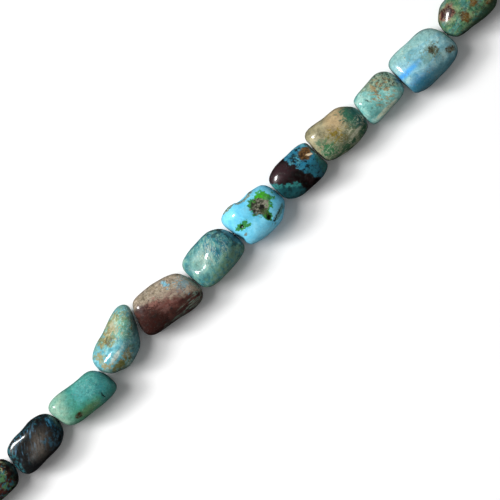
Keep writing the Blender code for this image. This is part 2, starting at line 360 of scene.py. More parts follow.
def ink_with_blue_brush_marks(s):
    s.ground("0b0d0f", "171718", "252321", size=2.0)
    brush = s.blot(1.0, 0.52, 0.66, turn=50, stretch=(2.4, 0.6, 2), bend=0.5, detail=4)
    s.lay("446f89", s.both(brush, s.near(-1.4, 1.4, 4.2, 2.8, soft=0.5)), 0.95)
    # Painted reflection: a grey-brown sheen over the flat middle of the face.
    s.lay("5a524a", s.near(0.9, -0.9, 3.0, 2.2, turn=20, soft=0.7, size=2.0), 0.75)
    s.lay("191818",
          s.both(s.blot(0.8, 0.5, 0.6, turn=50, stretch=(3, 0.5, 2)), s.near(1.0, -0.6, 3.4, 2.6)), 0.6)
    s.lay("39697f",
          s.both(s.blot(0.9, 0.46, 0.56, detail=5), s.near(3.0, -2.0, 2.0, 1.6, soft=0.5)), 0.85)
    s.lay("296985",
          s.both(s.blot(0.8, 0.44, 0.56, turn=80, stretch=(2, 0.7, 1)), s.near(5.6, 0.2, 0.9, 2.2)), 0.9)
    s.lay("2a5f67", s.both(s.beyond(-1, 0.3, 5.4), s.blot(0.9, 0.42, 0.58)), 0.85)
    s.lay("15353e", s.both(s.beyond(1, 0, 5.6), s.blot(0.6, 0.45, 0.55)), 0.9)
    s.lay("275965", s.both(s.beyond(0, 1, 3.0, ragged=0.8), s.blot(0.6, 0.5, 0.6)), 0.7)
    s.lay("040505", s.line((5.0, 1.9), (4.9, -1.7), 0.16, sway=0.3), 0.9)
    s.flaws()
    return s.done(dots=0.03)


def smooth_green_turquoise(s):
    s.ground("2e7c72", "419385", "58a699", size=2.6)
    s.lay("479596", s.near(1.5, 0.8, 3.8, 2.2, soft=0.7, size=2.0), 0.6)
    s.broken("3c8975", -2.6, 0.2, 2.0, 1.6, size=1.0, strength=0.6)
    s.broken("367e81", 4.2, -1.4, 2.0, 2.2, size=0.9, strength=0.6)
    s.lay("3d855f", s.beyond(-0.25, -1, 1.5, soft=1.2), 0.75)
    s.lay("7aae98", s.beyond(-1, 0.25, 3.8, ragged=0.9, size=2.0, soft=1.8), 0.75)
    s.lay("83af9b", s.beyond(-1, 0.9, 5.0, ragged=0.7, size=1.8, soft=1.2), 0.5)
    s.lay("98b8a0", s.both(s.beyond(-1, 0.5, 5.2, ragged=0.5, soft=1.0), s.blot(1.2, 0.42, 0.6)), 0.6)
    s.stain_and_sheen("627946", -0.6, -2.9, 2.6, 0.8, strength=0.5)
    s.stain_and_sheen("37260e", -3.2, -2.2, 1.0, 0.5, strength=1.0)
    s.lay("90c8bc", s.both(s.vein(1.8, 0.02, bend=1.2, detail=5), s.beyond(1, 0, 1.0, soft=1.5)), 0.5)
    s.lay("317b7d", s.beyond(1, -0.6, 4.6, ragged=0.6, soft=0.8), 0.6)
    crack = s.line((3.8, -2.1), (3.7, -3.6), 0.19, sway=0.3)
    s.lay("0b2221", crack)
    s.carve(crack, 0.08)
    return s.done()


def pear_sky_and_tan(s):
    s.ground("48909e", "65aeba", "8ec7cb", size=1.6)
    s.lay("72a189", s.both(s.blot(1.6, 0.44, 0.56, bend=0.8), s.beyond(0.35, 1, 0.0, soft=1.0)), 0.75)
    islands = ((-5.0, 0.3, 1.0, 1.0), (-1.9, 2.0, 1.5, 1.4), (0.8, 2.9, 1.9, 1.2), (3.3, 4.3, 1.3, 0.9))
    for x, y, across, up in islands:
        s.broken("848a5d", x, y, across * 1.4, up * 1.4, size=1.3, strength=0.7)
        s.broken("97844b", x, y, across, up, size=0.8, strength=0.75)
    s.broken("645731", -1.5, 1.6, 1.4, 1.0, size=0.6, strength=0.7)
    s.broken("8b9161", 4.2, 3.2, 2.4, 2.4, size=1.2, strength=0.75)
    s.broken("837840", 3.0, 0.6, 1.0, 1.0, size=0.8, strength=0.7)
    s.stain_and_sheen("5d9f83", 3.4, 0.6, 2.2, 2.0, turn=40, strength=0.6)
    s.broken("b4ab87", 1.6, 2.6, 1.9, 2.4, turn=-35, size=0.9, strength=0.8)
    s.broken("85773c", 4.4, 0.4, 1.1, 1.3, turn=40, size=0.8, strength=0.75)
    s.broken("757c48", 1.7, -3.0, 1.5, 0.9, turn=-20, size=0.9, strength=0.7)
    s.lay("61aba1", s.both(s.blot(0.9, 0.48, 0.58), s.beyond(1, -0.6, 0.5, soft=1.0)), 0.6)
    s.broken("887638", -2.9, -3.9, 2.2, 1.1, turn=-15, size=1.0)
    s.broken("615e29", -2.0, -4.2, 2.0, 0.7, size=0.7)
    s.broken("968144", -0.2, -3.1, 1.4, 1.0, size=0.8, strength=0.8)
    s.broken("95834c", -5.4, -2.0, 1.4, 0.9, turn=-40, size=0.9, strength=0.8)
    s.lay("585f2e", s.beyond(-0.35, -1, 4.5, ragged=0.8, soft=0.6), 0.6)
    # Painted reflection: a broad pale streak on the lower left of the face.
    s.stain_and_sheen("e2e2d0", -2.4, -2.0, 1.8, 0.45, turn=12, strength=0.55, ragged=0.6)
    s.lay("beddd0", s.both(s.vein(1.7, 0.035, bend=1.4, detail=5), s.beyond(1, -0.5, 0.5, soft=1.0)), 0.7)
    # Painted shade: darker teal over the lower right end, the side away from the light.
    s.lay("326169", s.beyond(1, -1, 4.6, ragged=0.6, soft=0.8), 0.7)
    s.flaws()
    return s.done()


def maroon_with_pale_band(s):
    s.ground("2e1714", "492a25", "5d3a32", size=2.0)
    s.lay("2c130f", s.near(-4.4, -1.6, 3.8, 2.6, soft=0.6, size=2.0), 0.85)
    s.lay("7e4d44", s.near(0.4, -0.2, 2.6, 1.1, turn=-30, ragged=0.4, soft=0.8), 0.6)
    band = s.beyond(0.343, 1, 1.9, ragged=0.9, size=1.6, soft=0.8)
    band = s.math("MAXIMUM", band, s.beyond(0.62, 1, 1.1, ragged=0.9, size=1.6, soft=0.8))
    s.lay("a69784", band, 0.9)
    s.lay("8a7e66",
          s.both(s.blot(1.0, 0.45, 0.56, turn=-18, stretch=(2.2, 0.7, 1)), s.beyond(0.343, 1, 2.2)), 0.6)
    s.lay("c9bca8", s.both(s.blot(0.6, 0.5, 0.6), s.beyond(0.343, 1, 2.4)), 0.55)
    s.broken("7ab7ca", 2.9, 2.9, 0.7, 1.1, turn=15, size=0.7)
    s.broken("6996a1", 5.6, 0.2, 1.6, 1.8, size=0.6, strength=0.7)
    s.broken("9e7165", -1.5, 1.6, 2.6, 0.8, turn=-18, size=0.7, strength=0.6)
    streaks = s.blot(0.9, 0.48, 0.58, turn=-15, stretch=(2.5, 0.7, 1))
    s.lay("795852", s.both(streaks, s.near(1.5, -0.1, 4.0, 1.8)), 0.5)
    s.lay("7b9b8a", s.both(s.vein(1.4, 0.04, turn=-6, stretch=(5, 0.5, 1)), s.beyond(0.1, -1, 3.2)), 0.75)
    s.lay("241715", s.vein(1.8, 0.022, turn=20, bend=1.0), 0.6)
    s.lay("9c857e", s.specks(0.35, 0.2), 0.3)
    s.flaws()
    return s.done(dots=0.03)


def teal_with_white_wisps(s):
    s.ground("2a6870", "44898e", "80ad9d", size=1.7, turn=60, stretch=(2.0, 0.8, 1))
    s.lay("678e72",
          s.both(s.beyond(0.2, -1, 1.6, ragged=1.0, size=1.6, soft=1.2), s.blot(0.9, 0.36, 0.58)), 0.85)
    s.lay("83ad9b", s.near(-2.8, 0.8, 2.6, 2.4, soft=0.7, size=1.6), 0.6)
    blue = s.blot(1.3, 0.47, 0.58, turn=70, stretch=(2.2, 0.7, 1))
    s.lay("317186", s.both(blue, s.near(2.2, 1.6, 2.8, 2.8)), 0.8)
    wisps = s.vein(1.6, 0.035, bend=1.8, turn=60, stretch=(2.4, 0.7, 1))
    s.lay("bccab3", s.both(wisps, s.near(0.8, 1, 4, 3)), 0.65)
    s.lay("1f2c2b", s.beyond(1, 0.3, 5.6, ragged=0.8), 0.9)
    s.lay("1c4349", s.both(s.blot(1.1, 0.48, 0.58), s.beyond(1, 0.4, 3.7)), 0.75)
    s.lay("8c8652", s.specks(1.1, 0.16), 0.4)
    s.flaws()
    return s.done()


def sky_with_green_craters(s):
    s.ground("62c4e6", "72cfee", "83d8f3", size=3.2, detail=3)
    s.lay("48a7b4", s.near(2.4, 0.6, 3.5, 2.8, soft=0.3), 0.35)
    s.lay("48a7b4", s.near(-3.6, 0.0, 2.0, 1.2, soft=0.3), 0.35)
    ring = s.near(2.5, 0.9, 2.9, 2.2, ragged=0.45, size=1.1, soft=0.12)
    ring = s.math("MAXIMUM", ring, s.near(1.6, -1.9, 0.9, 1.4, ragged=0.4, size=0.8, soft=0.12))
    s.lay("2a6a1d", ring, 0.95)
    s.lay("3f9c22", s.both(ring, s.blot(0.5, 0.5, 0.6)), 0.8)
    s.lay("459c27", s.both(ring, s.near(3.9, 2.2, 2.3, 1.3, ragged=0.6, size=0.9, soft=0.6)), 0.75)
    s.lay("3fb81c",
          s.both(ring, s.both(s.blot(0.5, 0.44, 0.56), s.near(3.9, 2.5, 1.8, 0.8, soft=0.5))), 0.9)
    core = s.near(1.8, 0.5, 1.9, 1.7, ragged=0.5, size=0.8, soft=0.2)
    s.lay("7d786b", core, 0.95)
    s.lay("9a9486", s.both(core, s.blot(0.35, 0.52, 0.58)), 0.7)
    s.lay("333828", s.both(core, s.blot(0.6, 0.46, 0.56)), 0.95)
    s.lay("3b4a26", s.near(1.75, -0.9, 0.6, 1.5, ragged=0.5, size=0.6, soft=0.3), 0.85)
    s.lay("1a1b12", s.near(2.0, 0.1, 0.7, 0.5, ragged=0.5, size=0.4))
    satellite = s.near(1.6, -2.6, 0.5, 0.45, ragged=0.3, size=0.5)
    s.lay("1a2414", satellite)
    spill = s.near(-4.0, 0.25, 1.5, 0.75, ragged=0.7, size=0.8, soft=0.15)
    tongue = s.near(-2.9, -0.6, 0.8, 0.36, turn=-25, ragged=0.6, size=0.5, soft=0.2)
    spill = s.math("MAXIMUM", spill, tongue)
    s.lay("2a7a2a", spill, 0.95)
    s.lay("5aa83a", s.both(spill, s.blot(0.4, 0.52, 0.6)), 0.75)
    eye = s.near(-4.1, 0.15, 0.42, 0.36, ragged=0.3, size=0.4)
    s.lay("15301a", eye)
    crust = s.near(0.8, 4.5, 2.3, 0.8, ragged=0.4, size=0.7, soft=0.12)
    crust = s.math("MAXIMUM", crust, s.near(-3.4, 5.1, 2.0, 0.3, ragged=0.5, size=0.5))
    s.lay("8fa89a", crust)
    s.lay("1f2a25", s.both(crust, s.blot(0.35, 0.5, 0.56)), 0.9)
    split = s.line((1.5, -4.1), (5.5, -2.7), 0.16, sway=0.3)
    s.lay("4c6c4a", s.near(3.8, -3.5, 2.3, 0.5, turn=20, ragged=0.6, size=0.6, soft=0.3), 0.7)
    s.lay("1a241e", split)
    s.lay("7a6a3c", s.near(-4.7, -1.7, 0.4, 0.3, ragged=0.5, size=0.4), 0.8)
    s.rock(core, 0.4, 0.3)
    s.rock(crust, 0.4, 0.15)
    s.carve(satellite, 0.2)
    s.carve(eye, 0.2)
    s.carve(split, 0.1)
    return s.done(grain=0.006, clouds=0.08)


def maroon_meets_blue(s):
    s.ground("0d0808", "170e0e", "251618", size=2.0)
    # Painted sheen: a lighter purple-maroon over the upper left end, the side towards the light.
    s.lay("402a30", s.near(-3.2, 2.6, 3.0, 1.7, ragged=0.3, soft=0.7, size=2.0), 0.65)
    band = s.beyond(-0.6, -0.8, 2.1, ragged=0.75, size=1.5, soft=0.15)
    band = s.both(band, s.beyond(-1, 0.1, 1.2, ragged=0.5, size=1.2, soft=0.2))
    s.lay("195055", band)
    s.lay("378985", s.both(band, s.beyond(0.6, 0.8, -2.9, ragged=0.6, size=0.8, soft=0.3)), 0.75)
    s.lay("0e282c", s.both(band, s.blot(0.9, 0.5, 0.6)), 0.8)
    blue = s.beyond(1, 0.35, 1.1, ragged=0.9, size=1.7, soft=0.18)
    s.lay("25728e", blue)
    s.lay("5da2ad",
          s.both(blue, s.both(s.blot(1.2, 0.46, 0.6, detail=5), s.beyond(-0.5, 1, 0.4, soft=1.2))), 0.8)
    s.lay("20565d", s.both(blue, s.beyond(0.2, -1, 0.8, soft=1.2)), 0.7)
    s.lay("0d1213", s.both(blue, s.blot(0.7, 0.55, 0.61, detail=5)), 0.9)
    s.lay("0d1213",
          s.both(blue, s.both(s.near(1.6, 2.6, 1.2, 1.4, soft=0.4), s.blot(0.5, 0.46, 0.54))), 0.85)
    s.lay("326e62", s.both(blue, s.beyond(1, -0.3, 5.3)), 0.6)
    patch = s.near(4.1, 1.8, 1.6, 1.4, ragged=0.3, size=1.2, soft=0.2)
    s.lay("3f2c1a", patch)
    s.lay("72522e", s.both(patch, s.blot(0.5, 0.44, 0.58)), 0.85)
    # A pale fleck in the brown patch, where a highlight falls: partly the stone's own mineral, partly a
    # painted highlight.
    s.lay("e5ceaa", s.near(4.6, 1.1, 0.75, 0.26, turn=-30, ragged=0.3, size=0.4, soft=0.3), 0.8)
    s.flaws()
    return s.done(dots=0.03)


def translucent_cream(s):
    s.ground("6a674e", "8c8667", "aba381", size=2.0)
    s.lay("c0a57c", s.near(1.2, 2.2, 2.4, 1.8, soft=0.7, size=1.6), 0.75)
    s.lay("717f63", s.beyond(0, -1, 1.2, soft=1.2), 0.7)
    s.broken("84701c", -1.2, 0.0, 2.0, 1.3, turn=-15, size=1.1, strength=0.8)
    s.broken("7c680e", -1.5, 0.3, 1.0, 0.6, size=0.7, strength=0.8)
    s.broken("746636", -0.2, -1.6, 1.8, 1.2, turn=-40, size=0.9, strength=0.7)
    s.lay("396b4b",
          s.both(s.near(-4.4, -1.2, 2.2, 2.2, soft=0.5, size=1.4), s.blot(1.0, 0.44, 0.56)), 0.85)
    s.lay("326243", s.near(-4.9, 1.0, 0.7, 0.7, ragged=0.6, size=0.7, soft=0.4), 0.8)
    s.broken("2c674f", 3.9, 0.8, 1.5, 1.8, size=0.9)
    s.lay("2a6652", s.near(4.7, -0.4, 1.9, 3.0, ragged=0.5, size=1.4, soft=0.5), 0.85)
    s.lay("1d4c46", s.beyond(1, -0.35, 4.6, ragged=0.9, size=1.6, soft=0.8), 0.95)
    s.broken("2c6640", -4.0, -1.6, 1.8, 1.6, size=0.9)
    s.lay("295938", s.both(s.beyond(0, -1, 2.9, ragged=0.8, soft=0.6), s.blot(1.4, 0.38, 0.54)), 0.9)
    s.lay("d3ceb2", s.both(s.vein(2.2, 0.03, bend=1.6), s.beyond(0, -1, 0.6, soft=1.0)), 0.55)
    # Painted reflection: a pale streak along the lower edge.
    s.stain_and_sheen("c7c3a9", 2.6, -3.0, 1.8, 0.35, turn=4, strength=0.6)
    s.flaws()
    return s.done(see_into=0.12)


def turquoise_with_mossy_end(s):
    s.ground("589c96", "77b6b0", "9ecdc2", size=1.9)
    moss = s.beyond(0.75, 1, 1.8, ragged=1.0, size=1.7, soft=0.8)
    s.lay("627967", moss, 0.85)
    s.lay("98ab8e", s.both(moss, s.blot(0.8, 0.48, 0.58)), 0.7)
    s.lay("222e26",
          s.both(moss, s.both(s.blot(0.6, 0.52, 0.58, detail=5), s.beyond(1, 0.2, 1.0, soft=1.5))), 0.85)
    rust = s.blot(0.8, 0.49, 0.56, turn=-60, stretch=(1.6, 0.7, 1), detail=6)
    rust = s.both(rust, s.near(0.8, 0.2, 2.8, 3.0, soft=0.5))
    s.lay("a6834c", rust, 0.7)
    s.lay("7d542e", s.both(rust, s.blot(0.4, 0.52, 0.58)), 0.8)
    s.lay("7b5d34", s.specks(0.8, 0.2), 0.6)
    s.lay("27423a", s.line((-2.9, 1.5), (-2.6, 0.6), 0.15, sway=0.25), 0.9)
    # Painted reflection: a pale streak along the lower edge.
    s.stain_and_sheen("d6d1af", -0.9, -3.3, 2.8, 0.4, strength=0.6)
    s.lay("b7dac7", s.vein(1.6, 0.02, bend=1.0), 0.45)
    s.flaws()
    return s.done()


def sky_with_blue_flash(s):
    s.ground("6ca7b3", "8abec6", "a7d0cf", size=1.8)
    s.lay("87ab8f", s.beyond(0.1, 1, 2.8, ragged=0.7, soft=0.9), 0.35)
    streaks = s.vein(2.2, 0.04, turn=-14, stretch=(4, 0.7, 1))
    s.lay("4c92af", s.both(streaks, s.near(-1.8, 1.2, 4.4, 2.2, soft=0.5)), 0.5)
    s.lay("317fb3", s.near(-4.6, -3.2, 3.2, 1.7, ragged=0.3, soft=0.8, size=1.6), 0.85)
    s.lay("1e5f8c", s.near(-4.8, -3.9, 3.0, 1.2, ragged=0.3, soft=0.7, size=1.6), 0.7)
    # Painted shade: darker teal along the lower edge.
    s.lay("317182", s.beyond(-0.12, -1, 3.2, ragged=0.4, soft=0.9), 0.8)
    s.lay("65b0d8", s.near(-4.4, 0.5, 4.2, 1.0, turn=-4, ragged=0.3, size=1.6, soft=0.9), 0.55)
    s.lay("3fa0ea", s.near(-6.0, 0.5, 3.8, 0.5, turn=-2, ragged=0.3, size=1.2, soft=0.9), 1.0)
    s.lay("3c92bf", s.both(s.near(1.8, -0.9, 1.6, 1.2, soft=0.6), s.blot(0.7, 0.46, 0.56)), 0.6)
    s.stain_and_sheen("628475", 0.4, -0.5, 2.4, 1.0, turn=-25, strength=0.6, ragged=0.7)
    s.broken("708975", 1.8, 0.4, 2.2, 1.5, turn=-30, size=0.8, strength=0.6)
    s.broken("58573a", 2.4, 0.0, 1.3, 1.3, size=0.7)
    spots = s.stain_and_sheen("4c492e", 2.4, 0.1, 0.8, 0.9, ragged=0.8)
    spots = s.math("MAXIMUM", spots, s.stain_and_sheen("6d6140", 5.2, -2.6, 1.1, 0.65, turn=-25, ragged=0.5))
    s.lay("342d1d", s.both(spots, s.blot(0.4, 0.5, 0.58)), 0.85)
    s.lay("897241", s.both(s.specks(0.8, 0.22), s.blot(2.0, 0.42, 0.56)), 0.6)
    s.lay("52898b", s.vein(2.4, 0.014, bend=1.4), 0.55)
    s.carve(spots, 0.06)
    s.flaws()
    return s.done(clouds=0.18)


def green_with_rust_spots(s):
    s.ground("2d5d49", "4c7a56", "7d9c71", size=1.7)
    s.lay("468780", s.blot(2.0, 0.47, 0.59, turn=10, stretch=(2, 0.8, 1)), 0.75)
    s.stain_and_sheen("8a4d3b", -4.0, 2.2, 1.9, 1.5)
    s.lay("321213", s.near(-4.0, 2.2, 1.6, 1.3, ragged=0.5, size=0.9, soft=0.2), 0.97)
    spots = ((-1.7, -1.4, 0.9, 1.3), (1.8, -0.4, 0.8, 0.7), (3.4, 2.6, 1.1, 0.8), (4.8, -2.6, 1.3, 0.6))
    for x, y, across, up in spots:
        s.stain_and_sheen("64400f", x, y, across, up, strength=1.0, ragged=0.6)
    s.lay("422b13", s.both(s.blot(0.6, 0.54, 0.6), s.beyond(0, -1, -0.5, soft=1.5)), 0.6)
    s.lay("babf8d", s.vein(1.6, 0.018, bend=1.2), 0.5)
    # Painted shade: dark green along the lower edge.
    s.lay("233b26", s.beyond(0, -1, 3.0, ragged=0.6, soft=0.6), 0.85)
    s.flaws()
    return s.done()


def teal_mottled(s, draws):
    size = draws.uniform(1.4, 2.2)
    s.ground("1d5c69", "337f8c", "64a5a6", size=size, turn=draws.uniform(0, 180), stretch=(1.6, 0.9, 1))
    s.lay("162f38", s.blot(1.6, 0.54, 0.6, bend=1.0), 0.8)
    s.lay("97c6bf", s.vein(1.8, 0.022, bend=1.4), 0.55)
    s.lay("8b7a4a", s.both(s.specks(0.9, 0.22), s.blot(2.4, 0.46, 0.56)), 0.7)
    s.flaws()
    return s.done()


def green_olive(s, draws):
    s.ground("326a52", "588a6f", "8cae88", size=draws.uniform(1.8, 2.6))
    s.lay("6b6832", s.blot(1.9, 0.52, 0.58, bend=0.8), 0.8)
    s.lay("3f8786", s.blot(2.6, 0.53, 0.6), 0.7)
    s.lay("5c3820", s.both(s.blot(1.1, 0.55, 0.59), s.beyond(1, 0, draws.uniform(-3, 2))), 0.85)
    s.lay("b9ccaa", s.vein(2.0, 0.016, bend=1.2), 0.5)
    s.flaws()
    return s.done()


def ink_with_teal(s, draws):
    s.ground("0b0e11", "17191d", "25262b", size=2.2)
    s.lay("1a5663", s.blot(1.5, 0.52, 0.58, bend=1.2), 0.9)
    s.lay("357692", s.vein(draws.uniform(1.4, 2.2), 0.03, bend=1.4), 0.8)
    s.lay("341f23", s.beyond(draws.uniform(-1, 1), 0.7, 1.2, ragged=0.9), 0.8)
    s.flaws()
    return s.done(dots=0.03)


def maroon_with_teal(s, draws):
    s.ground("1a1012", "371f1e", "533430", size=2.0)
    facet = s.beyond(draws.choice((-1, 1)), draws.uniform(-0.6, 0.6), 1.8, ragged=0.9, size=1.6)
    s.lay("20606a", facet)
    s.lay("569a9c", s.both(facet, s.blot(0.9, 0.5, 0.58)), 0.8)
    s.lay("856350", s.vein(1.9, 0.025, bend=1.0), 0.6)
    s.lay("3f6a4c", s.blot(1.2, 0.57, 0.6), 0.8)
    s.flaws()
    return s.done(dots=0.03)


def sky_with_matrix(s, draws):
    s.ground("4d9eb5", "6ab4c3", "8ec9ce", size=2.6)
    s.lay("7a5e35", s.both(s.blot(1.2, 0.53, 0.57), s.blot(3.2, 0.46, 0.54)), 0.9)
    s.lay("3f3320", s.vein(draws.uniform(2.2, 3.0), 0.012, bend=1.4), 0.8)
    s.lay("41876c", s.blot(1.7, 0.57, 0.62), 0.8)
    s.flaws()
    return s.done()


def turquoise_with_druse(s, draws):
    s.ground("43938d", "62ada5", "8bc2b6", size=2.2)
    x, y = draws.uniform(-2.5, 2.5), draws.uniform(-1, 1.5)
    druse = s.stain_and_sheen("5f4724", x, y, 2.0, 1.5, ragged=0.6)
    s.lay("94794a", s.both(druse, s.blot(0.4, 0.5, 0.56)), 0.9)
    s.rock(druse, 0.45, 0.15)
    s.lay("336151", s.blot(1.5, 0.55, 0.6), 0.8)
    s.lay("26413a", s.vein(2.3, 0.014, bend=1.4), 0.7)
    return s.done()


def cream_with_green(s, draws):
    s.ground("8b7e58", "b0a17b", "cdbf9d", size=2.4)
    s.lay("3f7057", s.beyond(draws.choice((-1, 1)), 0.3, 1.8, ragged=1.0, soft=0.8), 0.9)
    s.lay("805a24", s.blot(1.3, 0.56, 0.6), 0.8)
    s.lay("528a79", s.blot(1.8, 0.54, 0.6), 0.7)
    s.flaws()
    return s.done(see_into=0.12)


# The stones behind the photograph's frame, in it, and ahead of it, from the strand's back end
BEHIND = (turquoise_with_druse, green_olive, ink_with_teal, teal_mottled, sky_with_matrix,
          maroon_with_teal, green_olive, teal_mottled)
PICTURED = (red_brown_mottled, ink_with_blue_brush_marks, smooth_green_turquoise, pear_sky_and_tan,
            maroon_with_pale_band, teal_with_white_wisps, sky_with_green_craters, maroon_meets_blue,
            translucent_cream, turquoise_with_mossy_end, sky_with_blue_flash, green_with_rust_spots)
AHEAD = (ink_with_teal, teal_mottled, turquoise_with_druse, green_olive, maroon_with_teal,
         sky_with_matrix, turquoise_with_druse, cream_with_green, teal_mottled)

# Hollows and notches in some nuggets, in mm from the nugget's middle: x, y, radius, depth, roughness
HOLLOWS = {
    "bead_12": ((-1.0, 2.4, 1.2, 0.12, 0.25),),
    "bead_15": (
        (1.9, 0.5, 1.9, 0.4, 0.25),
        (1.6, -2.6, 0.6, 0.3, 0.2),
        (-4.1, 0.15, 0.5, 0.25, 0.2),
        (0.3, 5.6, 1.8, 0.4, 0.08),
        (3.6, 5.6, 2.0, 0.2, 0.0),
        (-6.8, -1.4, 1.5, 0.4, 0.0),
    ),
    "bead_16": ((4.1, 1.7, 1.3, 0.12, 0.2),),
    "bead_19": ((2.5, 0.15, 0.7, 0.12, 0.25), (5.0, -2.6, 0.7, 0.15, 0.25)),
}


def middle_of(node):
    low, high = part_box(node)
    return (low + high) / 2


def corners_of(mesh):
    spots = np.empty(len(mesh.vertices) * 3)
    mesh.vertices.foreach_get("co", spots)
    return spots.reshape(-1, 3)


def move_corners(mesh, spots):
    mesh.vertices.foreach_set("co", spots.ravel())
    mesh.update()


def subdivided(holder, level):
    """A new mesh: the holder's own, subdivided to its smooth limit."""
    subdivide = holder.modifiers[0]
    subdivide.levels = level
    subdivide.render_levels = level
    bpy.context.view_layer.update()
    graph = bpy.context.evaluated_depsgraph_get()
    return bpy.data.meshes.new_from_object(holder.evaluated_get(graph))


def crease_hole_rims(shape, length):
    """Keeps the edges crisp between the drilled hole's wall and the stone's ends."""
    crease = shape.edges.layers.float.new("crease_edge")
    wall = set()
    for face in shape.faces:
        along = [corner.co.x for corner in face.verts]
        if max(along) - min(along) > length / 2:
            wall.add(face)
    for edge in shape.edges:
        if 0 < sum(face in wall for face in edge.link_faces) < 2:
            edge[crease] = 1.0


def grown_mesh(node, level):
    """A smooth mesh grown from a nugget's solid, which still passes by the solid's corners."""
    shape = bmesh.new()
    shape.from_mesh(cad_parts[node].data)
    bmesh.ops.remove_doubles(shape, verts=shape.verts, dist=1e-6)
    bmesh.ops.join_triangles(
        shape, faces=shape.faces, angle_face_threshold=math.pi, angle_shape_threshold=math.pi
    )
    low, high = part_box(node)
    crease_hole_rims(shape, high.x - low.x)
    cage = bpy.data.meshes.new(node + "_cage")
    shape.to_mesh(cage)
    shape.free()
    holder = bpy.data.objects.new(node + "_cage", cage)
    bpy.context.scene.collection.objects.link(holder)
    holder.modifiers.new("subdivide", "SUBSURF")
    wanted = corners_of(cage)
    for _ in range(GROWTH_ROUNDS):
        trial = subdivided(holder, 1)
        shrunk = corners_of(trial)[:len(wanted)]
        bpy.data.meshes.remove(trial)
        move_corners(cage, corners_of(cage) + GROWTH_SHARE * (wanted - shrunk))
    fine = subdivided(holder, level)
    bpy.data.objects.remove(holder)
    bpy.data.meshes.remove(cage)
    return fine


def fitted(spots, low, high):
    """Points scaled along each axis so that they just fill a box."""
    return low + (spots - spots.min(0)) * (high - low) / np.ptp(spots, axis=0)


def worn_surface(mesh, node, seed):
    """Fits the smooth mesh to its solid's box, then adds slow lumps and the nugget's hollows."""
    low, high = (np.array(corner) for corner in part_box(node))
    spots = fitted(corners_of(mesh), low, high)
    move_corners(mesh, spots)
    normals = np.empty(spots.size)
    mesh.vertex_normals.foreach_get("vector", normals)
    local = (spots - (low + high) / 2) / MM
    shift = Vector((seed * LUMP_STEP, 0, 0))
    rise = np.zeros(len(spots))
    for size, depth in LUMPS:
        swell = np.array([noise.noise(Vector(p) / size + shift) for p in local])
        rise -= depth * (0.5 - 0.5 * swell)
    none_below, all_above = HOLLOW_HEIGHTS
    above = np.clip((local[:, 2] - none_below) / (all_above - none_below), 0, 1)
    hollows = HOLLOWS.get(node, ())
    if hollows:
        rubble = np.array([noise.fractal(Vector(p) / RUBBLE_SIZE + shift, *RUBBLE_SHAPE) for p in local])
    for x, y, radius, depth, roughness in hollows:
        off = np.hypot(local[:, 0] - x, local[:, 1] - y) / radius + roughness * rubble
        inside = np.clip(HOLLOW_EDGE - off, 0, HOLLOW_FADE) / HOLLOW_FADE * above
        inside = inside * inside * (3 - 2 * inside)
        rise -= inside * depth * (1 + 2 * roughness * rubble)
    worn = spots + normals.reshape(-1, 3) * (rise * MM)[:, None]
    reach = np.array((END_REACH, 0, 0))
    move_corners(mesh, fitted(worn, low - reach, high + reach))


def add_nugget(number, look):
    node = f"bead_{number:02d}"
    level = PITTED_LEVEL if len(HOLLOWS.get(node, ())) > FEW_HOLLOWS else FINE_LEVEL
    mesh = grown_mesh(node, level)
    worn_surface(mesh, node, number)
    mesh.shade_smooth()
    piece = bpy.data.objects.new(f"nugget_{number:02d}", mesh)
    bpy.context.scene.collection.objects.link(piece)
    mesh.materials.clear()
    stone = Stone(f"{look.__name__}_{number:02d}", middle_of(node), number)
    if look in PICTURED:
        mesh.materials.append(look(stone))
    else:
        mesh.materials.append(look(stone, random.Random(number)))
    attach(piece, "root")
    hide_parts(node)
    return piece


def thread_route():
    """The middle line of the thread's solid, in mm, as its rings lie along the strand."""
    corners = sorted((tuple(c.co / MM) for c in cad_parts["thread"].data.vertices))
    rings = [[corners[0]]]
    for corner in corners[1:]:
        if corner[0] - rings[-1][-1][0] > RING_GAP:
            rings.append([])
        rings[-1].append(corner)
    return [np.mean(np.unique(np.round(ring, 4), axis=0), axis=0) for ring in rings]


def even_steps(points, step):
    """Points at even steps along a line through the given points."""
    points = np.array(points)
    runs = np.linalg.norm(np.diff(points, axis=0), axis=1)
    reached = np.concatenate([[0], np.cumsum(runs)])
    places = np.linspace(0, reached[-1], max(2, int(reached[-1] / step)))
    return np.column_stack([np.interp(places, reached, points[:, axis]) for axis in range(3)])


def wrap_knots(route, knot_places):
    """Winds the route round its own line for a few turns at each knot."""
    length = WRAP_TURNS * WRAP_PITCH
    from_knot = np.min([np.abs(route[:, 0] - place) for place in knot_places], axis=0)
    runs = [route[from_knot > length / 2]]
    share = np.linspace(0, 1, WRAP_POINTS * WRAP_TURNS)
    swell = WRAP_RADIUS * np.minimum(1, WRAP_EASE * np.minimum(share, 1 - share))
    angle = 2 * math.pi * WRAP_TURNS * share
    for place in knot_places:
        _, y, z = route[np.argmin(np.abs(route[:, 0] - place))]
        x = place + length * (share - 0.5)
        runs.append(np.column_stack([x, y + swell * np.cos(angle), z + swell * np.sin(angle)]))
    wound = np.concatenate(runs)
    return wound[np.argsort(wound[:, 0], kind="stable")]


